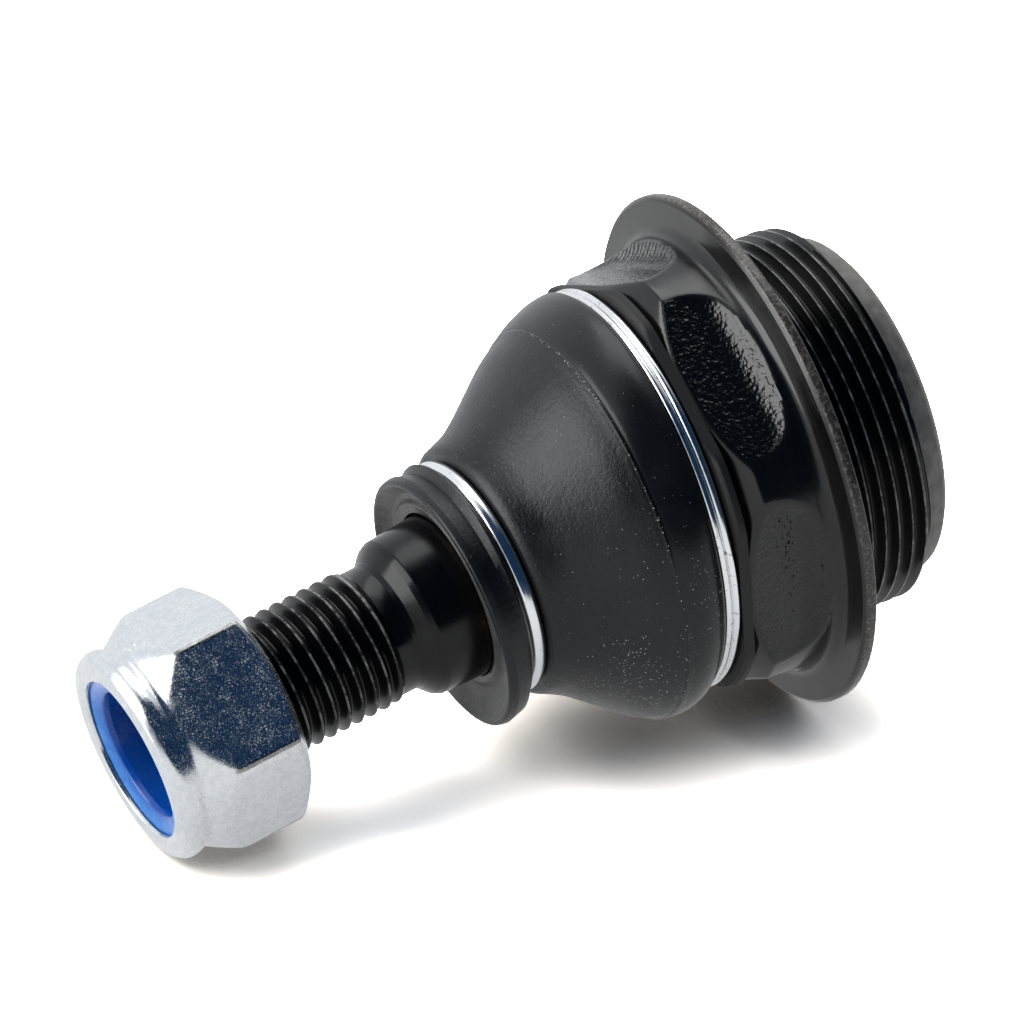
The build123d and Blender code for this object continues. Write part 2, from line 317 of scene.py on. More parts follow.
# %% [markdown]
# ## The ball stud
# A forged and turned pin: a 25 mm ball, a neck, a journal that the boot seals
# on, a taper that pulls into the wheel carrier, a relief groove and an M14
# thread. Ball, neck and taper are one turned profile. The thread is wound on
# its own and joined to it ring to ring, since both have the same divisions.

# %% Stud: shank and ball
STUD_STEPS = 120
BALL_R, NECK_R, NECK_FILLET, JOURNAL_R, RELIEF_R = 12.5, 6.4, 0.7, 8.5, 6.55
BALL_TOP = 11.4  # where the ball is turned flat
STUD_END, STUD_END_R = -61.0, 5.75
STUD_THREAD_R, STUD_THREAD_SHIFT = 7.0, 1.0
THREAD_RUNOUT = -40.1


def ball_arc(first, last, parts):
    """Points of the ball between two places on the axis."""
    a0, a1 = (atan2(sqrt(BALL_R**2 - t**2), t) for t in (first, last))
    turns = [a0 + (a1 - a0) * k / parts for k in range(parts + 1)]
    return [(BALL_R * cos(a), BALL_R * sin(a)) for a in turns]


neck_top = NECK_R + NECK_FILLET
neck_t = -sqrt(BALL_R**2 - neck_top**2)
shank = rounded([
    (THREAD_RUNOUT, RELIEF_R), (-38.3, RELIEF_R, 0.5), (-37.75, 6.75, 0.25),
    (-36.75, 7.80, 0.25), (-36.1, 8.15, 0.5), (-30.3, 8.45, 0.2),
    (-29.6, JOURNAL_R, 0.2), (-25.2, JOURNAL_R, 0.6), (-22.6, NECK_R + 0.3, 1.5),
    (-14.0, NECK_R, 1.0), (neck_t - 0.8, NECK_R, 0.5), (neck_t, neck_top)])
shank += ball_arc(neck_t, BALL_TOP, 36)[1:]
shank += [(BALL_TOP, 1.6), (10.0, 0.02)]
stud_shank = turned("stud_shank", filled_in(shank, 1.2), STUD_STEPS)

# %% Stud: thread and end face
stud_thread = threaded(
    "stud_thread", STUD_END, THREAD_RUNOUT, STUD_THREAD_R,
    fade=slope((-41.3, 1.0), (-40.2, 0.0)), steps=STUD_STEPS, shift=STUD_THREAD_SHIFT,
    blank=slope((STUD_END, STUD_END_R), (-60.7, 6.05), (-59.75, STUD_THREAD_R),
                (-40.75, STUD_THREAD_R), (THREAD_RUNOUT, RELIEF_R)))
end_face = turned("end_face", [
    (STUD_END, STUD_END_R), (STUD_END, 3.0), (STUD_END + 0.35, 1.2),
    (STUD_END + 0.9, 0.02)], STUD_STEPS)
stud = joined("ball_stud_finished", stud_shank, stud_thread, end_face)
merge_and_face_out(stud, distance=8e-6)
lay(stud, STUD_FRAME)
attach(stud, "stud")
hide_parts("ball_stud")

# %% [markdown]
# ## Pressing flats
# A hexagon starts round too. Here the blank is turned with close rings and
# then every point that stands beyond a flat's plane is moved in to it, which
# is what the press does to the steel. The corner between flat and turned face
# is left a little soft, so the light runs round it.

# %% Press six flats into a turned blank
FLAT_TURN = 60.0  # degrees from one flat to the next
BORE_SHARE = 0.9  # what is nearer to the axis than this share isn't pressed


def soft_lower(a, b, soft):
    """The lower of two heights, with a corner of about soft between them."""
    h = np.clip(0.5 + 0.5 * (b - a) / soft, 0, 1)
    return b + (a - b) * h - soft * h * (1 - h)


def press_flats(piece, distance, phase, soft, reach=None):
    """Move the points beyond each flat's plane in to it. reach(t, w) raises
    the flat where it runs out. Returns how far each point went in."""
    p = coordinates(piece)
    r = np.hypot(p[:, 0], p[:, 1])
    angle = np.degrees(np.arctan2(p[:, 1], p[:, 0]))
    off = np.radians((angle - phase + FLAT_TURN / 2) % FLAT_TURN - FLAT_TURN / 2)
    height = np.full(len(r), float(distance))
    if reach is not None:
        height = height + reach(p[:, 2], distance * np.tan(off))
    flat_r = height / np.cos(off)
    outside = r > distance * BORE_SHARE
    new_r = np.minimum(np.where(outside, soft_lower(r, flat_r, soft), r), r)
    k = np.where(r > 0, new_r / np.maximum(r, 1e-9), 1)
    p[:, 0] *= k
    p[:, 1] *= k
    set_coordinates(piece, p)
    return r - new_r


# %% [markdown]
# ## The lock nut
# An M14 nut, 22 mm across flats and 14 mm high: a hexagon with chamfered
# ends, a neck, and a collar that is rolled over the nylon ring. The outside is
# one turned profile whose flats are pressed in with well rounded corners. The
# thread inside is wound like the stud's, 0.06 mm larger and with the same
# shift, so the two fit into each other.

# %% Nut: outside and rolled collar
NUT_STEPS = 288
NUT_FLAT, NUT_CORNER_ANGLE, NUT_CORNER_R = 11.0, 22.1, 12.68
NUT_THREAD_T0, NUT_THREAD_T1, NUT_BORE = -62.8, -53.62, 7.06
NYLON_SEAT = 8.74
nut_profile = filled_in(rounded([
    (NUT_THREAD_T0, NUT_BORE), (NUT_THREAD_T0, NYLON_SEAT), (-66.42, NYLON_SEAT),
    (-66.42, 8.10, 0.05), (-66.78, 8.2, 0.15), (-67.0, 8.95, 0.4), (-66.75, 10.2, 0.7),
    (-65.85, 10.87, 0.9), (-64.85, 10.72, 0.6), (-64.05, 10.38, 1.3),
    (-60.55, NUT_CORNER_R, 1.3), (-54.3, NUT_CORNER_R, 0.6), (-53.0, 10.4, 0.25),
    (-53.0, 7.75, 0.1), (NUT_THREAD_T1, NUT_BORE)], parts=5), 0.3, -64.2, -52.9)
nut_outside = turned("nut_outside", nut_profile, NUT_STEPS)
pressed = press_flats(
    nut_outside, NUT_FLAT, NUT_CORNER_ANGLE + FLAT_TURN / 2, soft=0.85)
print("nut pressed by up to", round(float(pressed.max()), 2), "mm")

# %% Nut: thread inside
nut_thread = threaded(
    "nut_thread", NUT_THREAD_T0, NUT_THREAD_T1, NUT_BORE,
    fade=slope((NUT_THREAD_T0, 0.0), (-62.3, 1.0), (-54.2, 1.0), (NUT_THREAD_T1, 0.0)),
    steps=NUT_STEPS, shift=STUD_THREAD_SHIFT)
nut = joined("lock_nut_finished", nut_outside, nut_thread)
merge_and_face_out(nut, distance=8e-6)
lay(nut, STUD_FRAME, angle=40)
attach(nut, "nut")
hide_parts("lock_nut")

# %% [markdown]
# ## The nylon ring
# The ring is pressed into the collar and grips the thread. Its front is a
# shallow funnel that leads the bolt in, with a soft corner into the bore.

# %% Nylon ring
NYLON_BACK, NYLON_FRONT, NYLON_BORE = -62.84, -66.30, 6.36
nylon_profile = filled_in(rounded([
    (NYLON_BACK, 7.5), (NYLON_BACK, 8.7, 0.2), (NYLON_FRONT, 8.7, 0.1),
    (NYLON_FRONT, 7.80, 0.12), (-65.78, 6.55, 0.35), (-65.2, NYLON_BORE, 0.4),
    (NYLON_BACK, NYLON_BORE, 0.15), (NYLON_BACK, 7.5)], parts=5), 0.6)
nylon = turned("nylon_insert_finished", nylon_profile, 192)
merge_and_face_out(nylon)
lay(nylon, STUD_FRAME)
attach(nylon, "nut_carrier")
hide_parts("nylon_insert")

# %% [markdown]
# ## The dust boot
# The boot is a rubber bell. Its large end sits square on the housing and its
# small end follows the stud, so every ring of it has its own centre and tilt.
# The tube is drawn straight first, and then each ring is seated in its place.
# A fine seam is left where the two halves of the mould met, and the thick lip
# hangs a little lower than the rest.

# %% Boot: rings of the bell
# place along the housing's axis, sag, tilt in degrees, and outer radius
BELL = np.array([
    (-10.6, 0, 0, 20.95), (-11.6, -0.4, 0.4, 21.15), (-12.8, -0.85, 0.8, 21.12),
    (-14.1, -1.25, 1.2, 20.85), (-15.4, -1.62, 1.4, 20.3), (-17.4, -1.85, 1.8, 19.15),
    (-19.1, -2.02, 2.2, 17.85), (-20.8, -2.16, 2.7, 16.45), (-22.4, -2.26, 3.1, 15.2),
    (-24.1, -2.33, 3.6, 14.05), (-26.46, -2.33, 4.1, 13)])
WALL, SEAM_T, SEAM_RISE, SEAM_ROOM, SEAM_SLOPE = 1.7, -15.4, 0.07, 0.35, 0.42
SEAM_STEPS = ((-0.3, 0), (-0.14, 0.01), (-0.05, 1), (0.05, 1), (0.14, 0.01), (0.3, 0))
RIM_T, RIM_R = -8.52, 18.65
LIP_HANG = 1.15


def smooth_rows(rows, parts):
    """Rows with parts steps between neighbours, on a smooth curve."""
    ends = np.vstack([2 * rows[0] - rows[1], rows, 2 * rows[-1] - rows[-2]])
    out = []
    for a, b, c, d in zip(ends, ends[1:], ends[2:], ends[3:]):
        for k in range(parts):
            u = k / parts
            out.append(0.5 * (
                2 * b + (c - a) * u + (2 * a - 5 * b + 4 * c - d) * u**2
                + (3 * b - a - 3 * c + d) * u**3))
    return np.array(out + [rows[-1]])


def bell_frame(t, sag, tilt):
    """Frame of a ring of the bell."""
    return axis_frame(BALL + (HOUSING_DIR * t + LEAN * sag) * MM, leaning(tilt))


def lip_frame(t, r):
    """Frame of a ring of the lip: the clip's, but lower where the lip is thick
    and stands free."""
    thick = min(1.0, max(0.0, (r - 9.0) / 3.0))
    free = min(1.0, max(0.0, (0.7 - t) / 0.6))
    down = -COLLAR_FRAME.col[0].xyz * (LIP_HANG * thick * free) * MM
    return Matrix.Translation(down) @ COLLAR_FRAME


def seated(name, rings, steps):
    """A tube whose ring k is a circle (frame, t, radius). The number of its
    ring is stored with every vertex."""
    tube = turned(name, [(float(k), 1.0) for k in range(len(rings))], steps)
    p = coordinates(tube)
    level = np.rint(p[:, 2]).astype(int)
    angle = np.arctan2(p[:, 1], p[:, 0])
    placed = np.empty_like(p)
    for k, (place, t, r) in enumerate(rings):
        on = level == k
        circle = np.stack([r * np.cos(angle[on]), r * np.sin(angle[on]),
                           np.full(on.sum(), t)], 1)
        m = np.array(place)
        placed[on] = circle @ m[:3, :3].T + m[:3, 3] / MM
    set_coordinates(tube, placed)
    mark(tube, "ring", level)
    return tube


# %% Boot: outside, lip and inside
bell = smooth_rows(BELL, 4)
seamed = [row for row in bell if abs(row[0] - SEAM_T) > SEAM_ROOM]
at_seam = bell[np.argmin(np.abs(bell[:, 0] - SEAM_T))]
for d, rise in SEAM_STEPS:
    row = at_seam + np.array([d, 0, 0, SEAM_SLOPE * d])
    row[3] += rise * SEAM_RISE
    seamed.append(row)
seamed.sort(key=lambda row: -row[0])
groove = rounded([(RIM_T, RIM_R), (RIM_T, 19.88, 0.15), (-10.36, 19.88, 0.15),
                  (-10.36, 20.75, 0.12), (-10.6, 20.95)])
lip = filled_in(rounded([
    (3.0, 12.98), (2.76, 12.6, 0.15), (2.76, 11.3, 0.15), (0.99, 11.3, 0.15),
    (0.99, 12.15, 0.15), (0.6, 12.55, 0.3), (-1.5, 13.12, 0.5), (-2.25, 12.95, 0.3),
    (-2.4, 12.5, 0.25), (-1.9, 12.0, 0.6), (-1.2, 10.9, 1.0), (-1.15, 10.0, 0.8),
    (-1.75, 9.4, 0.3), (-1.6, 9.0)]), 0.5, -3, 1)
bore = [(-30.9, 8.72), (-30.55, 8.54), (-29.0, 8.54), (-28.4, 9.1)]
rings = [(HOUSING_FRAME, t, r) for t, r in groove[:-1]]
SEAM_RING = len(rings) + min(
    range(len(seamed)), key=lambda k: abs(seamed[k][0] - SEAM_T - 0.05))
rings += [(bell_frame(*row[:3]), 0.0, row[3]) for row in seamed[:-1]]
LIP_FACE_RING = len(rings) + min(range(len(lip)), key=lambda k: lip[k][0])
rings += [(lip_frame(t, r), t, r) for t, r in lip]
LIP_END_RING = len(rings)
rings += [(STUD_FRAME, t, r) for t, r in bore]
rings += [(bell_frame(*row[:3]), 0.0, row[3] - WALL) for row in BELL[::-1]]
rings += [(HOUSING_FRAME, -10.5, RIM_R), (HOUSING_FRAME, RIM_T, RIM_R)]
boot = seated("dust_boot_finished", rings, 192)
merge_and_face_out(boot)
lay(boot, Matrix.Identity(4), angle=50)
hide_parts("dust_boot")
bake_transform(boot)

# %% [markdown]
# ## The two clips
# The large clip is spring wire wound twice round the boot. It is a curve with
# a round section: one turn, a short step to the side where it can't be seen,
# and a second turn beside the first. The small clip is a band with a domed
# back, which is a turned piece.

# %% Large clip: two turns of wire
WIRE_R, WIRE_RING = 0.43, 20.35
WIRE_T0, WIRE_T1 = -9.86, -9.03
WIRE_START = 235.0  # degrees round the axis, on the far side
STEP_START, STEP_TURN = 346, 28  # degrees of the wire's own length


def wire_point(turn_angle):
    """Point of the wire at an angle from 0 to 720 degrees after its start."""
    u = min(1.0, max(0.0, (turn_angle - STEP_START) / STEP_TURN))
    t = WIRE_T0 + (WIRE_T1 - WIRE_T0) * u * u * (3 - 2 * u)
    a = radians(turn_angle + WIRE_START)
    return Vector((WIRE_RING * cos(a), WIRE_RING * sin(a), t)) * MM


deselect_all()
bpy.ops.curve.primitive_nurbs_path_add(location=(0, 0, 0))
wire = bpy.context.object
wire.name = "boot_clip_large_finished"
spline = wire.data.splines[0]
angles = np.arange(1.0, 719.5, 2.0)
spline.points.add(len(angles) - len(spline.points))
for point, a in zip(spline.points, angles):
    point.co = (*wire_point(a), 1.0)
spline.order_u = 3
spline.use_endpoint_u = True
spline.resolution_u = 1
wire.data.dimensions = "3D"
wire.data.bevel_depth = WIRE_R * MM
wire.data.bevel_resolution = 6
wire.data.use_fill_caps = True
bpy.ops.object.convert(target="MESH")
merge_and_face_out(wire)
lay(wire, HOUSING_FRAME, angle=50)
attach(wire, "housing")
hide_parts("boot_clip_large")

# %% Small clip: a domed band
band_profile = rounded([
    (1.9, 11.36), (1.08, 11.36, 0.12), (1.05, 11.72, 0.2), (1.45, 12.08, 0.4),
    (1.88, 12.15, 0.5), (2.3, 12.08, 0.4), (2.7, 11.72, 0.2), (2.67, 11.36, 0.12),
    (1.9, 11.36)], parts=5)
band = turned("boot_clip_small_finished", band_profile, 240)
merge_and_face_out(band)
lay(band, COLLAR_FRAME, angle=50)
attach(band, "collar")
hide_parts("boot_clip_small")

# %% [markdown]
# ## The housing
# A forging that was turned all over, except for the six flats that the press
# left rough. The turned blank gets close rings where the flats will be, the
# flats are pressed in with a rounded run-out before the flange, and the thread
# is wound on its own and joined in. How deep a flat is pressed in is stored
# for the paint, and so is the place where the upper flat was trimmed.

# %% Housing: turned blank
HOUSING_STEPS = 480
HOUSING_THREAD_R = 19.5
THREAD_T0, THREAD_T1 = 4.1, 13.7
HOUSING_THREAD_SHIFT = 0.28
BORE_R, PLATE_SEAT_R, LIP_R, THROAT_R = 15.7, 16.3, 14.6, 11.4
HEX_R, RIM_OUT_R, THREAD_START_R, THREAD_END_R = 22.6, 26.597, 18.1, 18.35
front = filled_in(rounded([
    (-12.6, 14.9), (-12.6, 17.9, 0.3), (-11.9, 18.6, 0.3), (-8.45, 18.6),
    (-8.45, 21.5, 0.15), (-8.1, 21.9, 0.2), (-7.35, 21.9, 0.15), (-7.35, 20.7),
    (-7.2, 20.7, 0.06), (-5.3, HEX_R, 0.5), (1.6, HEX_R, 1.25), (1.6, 26.15, 0.2),
    (2.0, RIM_OUT_R, 0.25), (2.95, RIM_OUT_R, 0.3), (2.95, 20.1, 0.08),
    (2.65, 19.8, 0.08), (2.65, THREAD_START_R, 0.2), (THREAD_T0, THREAD_START_R)]),
    0.27, -7.21, 1.6)
rear = rounded([
    (THREAD_T1, THREAD_END_R), (THREAD_T1, 17.8, 0.15), (14.7, 17.8, 0.2),
    (15.9, 17.55, 0.9), (16.6, 16.6, 0.9), (16.9, 15.6, 0.6), (16.9, LIP_R, 0.35),
    (15.32, LIP_R, 0.1), (15.32, PLATE_SEAT_R), (13.4, PLATE_SEAT_R), (13.4, BORE_R),
    (-4.6, BORE_R), (-8.6, 12.0), (-8.9, THROAT_R), (-9.3, THROAT_R), (-12.6, 14.9)])
housing_front = turned("housing_front", front, HOUSING_STEPS)
housing_rear = turned("housing_rear", rear, HOUSING_STEPS)

# %% Housing: press the flats
FLAT, FLAT_PHASE, FLAT_SOFT = 20.5, 39.1, 0.35
RUNOUT_T, RUNOUT_R, FLAT_HALF, FLAT_CORNER = 0.3, 3.0, 9.8, 3.4
RUNOUT_WALL = 4.0  # how steep the flat's end is beyond its rounding
HEX_T0, HEX_T1 = -7.0, 1.0
TRIMMED_FLAT, TRIMMED_HALF, TRIMMED_FADE = -60.0, 26, 4  # degrees
TRIMMED_T, TRIMMED_REACH = -0.6, 1.1


def run_out(t, w):
    """How far the flat rises where it runs out before the flange, at a place t
    along the axis and w across the flat. Its edge is straight at RUNOUT_T and
    rounded at the corners, and the flat rises to it in an arc."""
    side = np.clip(np.abs(w) - (FLAT_HALF - FLAT_CORNER), 0, FLAT_CORNER)
    edge = RUNOUT_T - FLAT_CORNER + np.sqrt(FLAT_CORNER**2 - side**2)
    inside = edge - t
    on_arc = np.clip(RUNOUT_R - inside, 0, RUNOUT_R)
    rise = RUNOUT_R - np.sqrt(np.clip(RUNOUT_R**2 - on_arc**2, 0, None))
    return rise + np.clip(-inside, 0, None) * RUNOUT_WALL


in_by = press_flats(housing_front, FLAT, FLAT_PHASE, soft=FLAT_SOFT, reach=run_out)
front_x, front_y, front_t = coordinates(housing_front).T
on_hexagon = (front_t > HEX_T0) & (front_t < HEX_T1)
pressed_in = np.where(on_hexagon, np.clip(in_by / FLAT_SOFT, 0, 1), 0.0)
mark(housing_front, "forged", pressed_in)
front_angle = np.degrees(np.arctan2(front_y, front_x))
from_trimmed = np.abs((front_angle - FLAT_PHASE - TRIMMED_FLAT + 180) % 360 - 180)
near_run_out = np.clip(1 - np.abs(front_t - TRIMMED_T) / TRIMMED_REACH, 0, 1)
on_trimmed = np.clip((TRIMMED_HALF - from_trimmed) / TRIMMED_FADE, 0, 1)
mark(housing_front, "trimmed", near_run_out * pressed_in * on_trimmed)

# %% Housing: thread, and all in one
housing_thread = threaded(
    "housing_thread", THREAD_T0, THREAD_T1, HOUSING_THREAD_R,
    fade=slope((4.2, 0.0), (5.0, 1.0)), steps=HOUSING_STEPS, shift=HOUSING_THREAD_SHIFT,
    blank=slope((THREAD_T0, THREAD_START_R), (5.1, HOUSING_THREAD_R),
                (13.25, HOUSING_THREAD_R), (13.55, 19.2), (THREAD_T1, THREAD_END_R)))
housing = joined("housing_finished", housing_front, housing_rear, housing_thread)
merge_and_face_out(housing, distance=8e-6)
lay(housing, HOUSING_FRAME, angle=38)
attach(housing, "housing")
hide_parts("housing")

# %% [markdown]
# ## Materials
# Every finish is a Principled shader fed by noise in Object coordinates. A
# Mapping node turns those coordinates so that Z runs along the piece's own
# axis, and then turning marks, wear on a rim or dust on one side are easy to
# place by their height along the axis and their radius.

# %% Building blocks of a finish
def is_socket(value):
    return isinstance(value, bpy.types.NodeSocket)


def add_node(tree, kind, inputs=None, **settings):
    """A node with these settings. Each of the inputs is linked to another
    node's output or set to a plain value."""
    made = tree.nodes.new(kind)
    for key, value in settings.items():
        setattr(made, key, value)
    for key, value in (inputs or {}).items():
        if is_socket(value):
            tree.links.new(value, made.inputs[key])
        else:
            made.inputs[key].default_value = value
    return made


def map_range(tree, value, low, high, to_low=0.0, to_high=1.0, smooth=True):
    """The value spread from low..high to to_low..to_high and held there."""
    return add_node(tree, "ShaderNodeMapRange", {
        "Value": value, "From Min": low, "From Max": high, "To Min": to_low,
        "To Max": to_high}, interpolation_type="SMOOTHSTEP" if smooth else "LINEAR"
    ).outputs["Result"]


def mix_colors(tree, factor, a, b):
    """Color a where the factor is 0 and b where it is 1."""
    a, b = (color if is_socket(color) else (*color, 1) for color in (a, b))
    return add_node(tree, "ShaderNodeMix", {"Factor": factor, "A": a, "B": b},
                    data_type="RGBA").outputs["Result"]


def mix_shaders(tree, factor, a, b):
    """Shader a where the factor is 0 and b where it is 1."""
    return add_node(tree, "ShaderNodeMixShader", {0: factor, 1: a, 2: b}).outputs[0]


class Finish:
    """A material under construction, with shortcuts for its nodes. Places in
    it are metres in the piece's own frame: x, y, t along the axis, radius."""

    def __init__(self, name, color, roughness, own_frame, metallic=0.0):
        self.material = bpy.data.materials.new(name)
        self.material.use_nodes = True
        self.tree = self.material.node_tree
        self.shader = self.tree.nodes["Principled BSDF"]
        self.put("Base Color", (*color, 1))
        self.put("Roughness", roughness)
        self.put("Metallic", metallic)
        self.place = self.node("ShaderNodeMapping", {
            "Vector": self.node("ShaderNodeTexCoord").outputs["Object"],
            "Location": own_frame.to_translation(), "Rotation": own_frame.to_euler()},
            vector_type="TEXTURE").outputs["Vector"]
        self.x, self.y, self.t = self.node(
            "ShaderNodeSeparateXYZ", {0: self.place}).outputs
        self.radius = self.math("SQRT", self.plus(
            self.times(self.x, self.x), self.times(self.y, self.y)))

    def put(self, key, value):
        """Link or set one input of the shader."""
        if is_socket(value):
            self.tree.links.new(value, self.shader.inputs[key])
        else:
            self.shader.inputs[key].default_value = value

    def node(self, kind, inputs=None, **settings):
        return add_node(self.tree, kind, inputs, **settings)

    def math(self, operation, a, b=0.0):
        return self.node("ShaderNodeMath", {0: a, 1: b}, operation=operation).outputs[0]

    def times(self, a, b):
        return self.math("MULTIPLY", a, b)

    def plus(self, a, b):
        return self.math("ADD", a, b)

    def noise(self, scale, detail=3.0, roughness=0.55):
        return self.node("ShaderNodeTexNoise", {
            "Vector": self.place, "Scale": scale, "Detail": detail,
            "Roughness": roughness}).outputs["Fac"]

    def grains(self, scale):
        """Distance to the middle of each cell, and a number of its own from
        0 to 1 for every cell."""
        cell = self.node("ShaderNodeTexVoronoi", {"Vector": self.place, "Scale": scale},
                         feature="F1")
        own = self.node("ShaderNodeSeparateColor", {0: cell.outputs["Color"]})
        return cell.outputs["Distance"], own.outputs[0]

    def lines(self, scale):
        """Turning marks: noise that changes along the axis and the radius
        but not round the piece."""
        return self.node("ShaderNodeTexNoise", {
            "W": self.plus(self.t, self.times(self.radius, 1.31)), "Scale": scale,
            "Detail": 2}, noise_dimensions="1D").outputs["Fac"]

    def ridges(self, count, shake):
        """Ridges round the axis, count of them in a full turn, a little
        shaken."""
        angle = self.math("ARCTAN2", self.y, self.x)
        shaken = self.plus(self.times(angle, count), self.times(self.noise(900), shake))
        return self.times(self.plus(self.math("SINE", shaken), 1.0), 0.5)

    def ramp(self, value, low, high, to_low=0.0, to_high=1.0, smooth=True):
        return map_range(self.tree, value, low, high, to_low, to_high, smooth)

    def patchy(self, scale, detail, low, high, to_low=0.0, to_high=1.0,
               roughness=0.55):
        """Noise spread into patches of to_low and to_high."""
        return self.ramp(self.noise(scale, detail, roughness),
                         low, high, to_low, to_high)

    def mix(self, factor, a, b):
        return mix_colors(self.tree, factor, a, b)

    def blend(self, factor, a, b):
        """Number a where the factor is 0 and b where it is 1."""
        return self.node("ShaderNodeMix", {"Factor": factor, "A": a, "B": b},
                         data_type="FLOAT").outputs["Result"]

    def attribute(self, name):
        return self.node("ShaderNodeAttribute", attribute_name=name).outputs["Fac"]

    def bump(self, height, distance, strength=1.0, over=None):
        """A bump whose full height is distance in millimetres."""
        inputs = {"Height": height, "Distance": distance * MM, "Strength": strength}
        if over is not None:
            inputs["Normal"] = over
        return self.node("ShaderNodeBump", inputs).outputs["Normal"]

    def color(self, value):
        self.put("Base Color", value)

    def rough(self, value):
        self.put("Roughness", value)

    def normal(self, value):
        self.put("Normal", value)


def wear(piece, finish):
    """Give the piece this finish alone."""
    if not piece.data.materials:
        piece.data.materials.append(finish.material)
    for k in range(len(piece.data.materials)):
        piece.data.materials[k] = finish.material


# %% [markdown]
# ## Black paint of the housing
# The forging is dipped in black paint. On the turned faces the film is thin,
# so the lathe's fine lines show through and the gloss is soft. On the six
# flats it lies over rough forged skin and flows into an orange peel that
# glitters, and where the upper one was trimmed it covers the tool's ridges.
# Paint is chipped on the flange's rim and rubbed off on thread crests, the
# front ring is matt, and so is the rolled end, which was closed after painting
# and is paler. All of this is placed by height and radius in the housing's own
# frame, plus the two attributes that pressing the flats left behind.

# %% Black paint of the housing
PAINT = (0.0032, 0.0030, 0.0029)
BARE_RIM, BARE_CREST = (0.15, 0.135, 0.12), (0.24, 0.235, 0.225)
END_DARK, END_PALE = (0.160, 0.150, 0.138), (0.245, 0.230, 0.208)
paint = Finish("black_paint", PAINT, 0.26, HOUSING_FRAME)
forged, trimmed = paint.attribute("forged"), paint.attribute("trimmed")
peel = paint.plus(paint.noise(1500, detail=2.5, roughness=0.6),
                  paint.times(paint.grains(2300)[0], 0.55))
skin = paint.bump(paint.lines(7000), 0.0022, 0.8)
skin = paint.bump(paint.noise(2600, 3), 0.0035, 0.6, over=skin)
skin = paint.bump(peel, 0.10, forged, over=skin)
skin = paint.bump(paint.ridges(150, shake=7.0), 0.30, trimmed, over=skin)
paint.normal(skin)
rolled_end = paint.ramp(paint.t, 0.01385, 0.0140)
front_ring = paint.ramp(paint.t, -0.0070, -0.0074)
gloss = paint.blend(forged, paint.patchy(260, 4, 0.3, 0.7, 0.15, 0.26), 0.07)
gloss = paint.blend(front_ring, gloss, 0.60)
paint.rough(paint.blend(rolled_end, gloss, 0.46))
on_rim = paint.ramp(paint.radius, 0.02630, 0.02655)
on_crest = paint.times(paint.ramp(paint.radius, 0.01943, 0.01949),
                       paint.ramp(paint.radius, 0.01960, 0.01954))
chipped = paint.patchy(2300, 5, 0.46, 0.66, roughness=0.7)
rubbed = paint.patchy(520, 5, 0.42, 0.64, 0.12, 1.0, roughness=0.7)
worn = paint.times(on_rim, paint.plus(0.22, paint.times(chipped, 0.78)))
tone = paint.mix(worn, PAINT, BARE_RIM)
tone = paint.mix(paint.times(on_crest, rubbed), tone, BARE_CREST)
end_tone = paint.mix(paint.patchy(700, 5, 0.35, 0.7), END_DARK, END_PALE)
paint.color(paint.mix(rolled_end, tone, end_tone))
wear(housing, paint)

# %% [markdown]
# ## Black phosphate of the stud
# The stud is turned and phosphated, then oiled: a deep black that shines like
# wet stone, with bright lines only where the thread's crests rubbed against
# the nut. The journal carries a faint olive stain where the oil dried.

# %% Black phosphate of the stud
OILED, OLIVE = (0.0020, 0.0020, 0.0025), (0.026, 0.020, 0.010)
BARE_THREAD = (0.26, 0.25, 0.24)
black = Finish("black_phosphate", OILED, 0.2, STUD_FRAME)
film = black.bump(black.lines(8200), 0.0028, 0.9)
black.normal(black.bump(black.noise(3200, 3), 0.003, 0.6, over=film))
black.rough(black.patchy(420, 4, 0.3, 0.7, 0.15, 0.25))
black.put("Specular IOR Level", 0.3)
on_crest = black.times(black.ramp(black.radius, 0.00692, 0.006985),
                       black.ramp(black.t, -0.0396, -0.0408))
rubbed = black.patchy(620, 5, 0.42, 0.62, 0.08, 1.0, roughness=0.7)
stain = black.times(black.ramp(black.t, -0.0345, -0.0315),
                    black.patchy(160, 4, 0.50, 0.68))
tone = black.mix(black.times(on_crest, rubbed), OILED, BARE_THREAD)
black.color(black.mix(stain, tone, OLIVE))
wear(stud, black)
